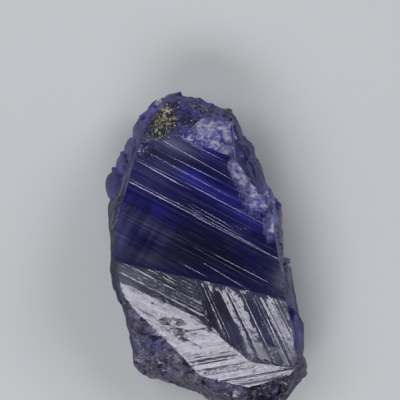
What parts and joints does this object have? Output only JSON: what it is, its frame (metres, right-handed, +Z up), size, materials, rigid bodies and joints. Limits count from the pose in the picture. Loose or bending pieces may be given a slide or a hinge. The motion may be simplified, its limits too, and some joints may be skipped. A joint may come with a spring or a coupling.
{
  "type": "rough tanzanite crystal",
  "caption": "Loose rough blue-violet gem crystal: flat striated main face, a ridge, cleaved facets falling to a broken foot, a narrow tip, and a small flat resting spot underneath.",
  "frame": {"origin": "middle of the crystal's bounding box in plan, on the surface it rests on", "axes": "+Y along the crystal to its narrow tip, +Z up through the flat main face, +X to the right when the main face is looked down on with the tip away from the viewer"},
  "size_m": [0.0288, 0.0464, 0.0171],
  "materials": {
    "tanzanite": "glossy on the cleaved facets, frosted and splintery on the broken foot, rim and walls"
  },
  "bodies": {
    "root": {"crystal": "tanzanite"}
  },
  "joints": []
}
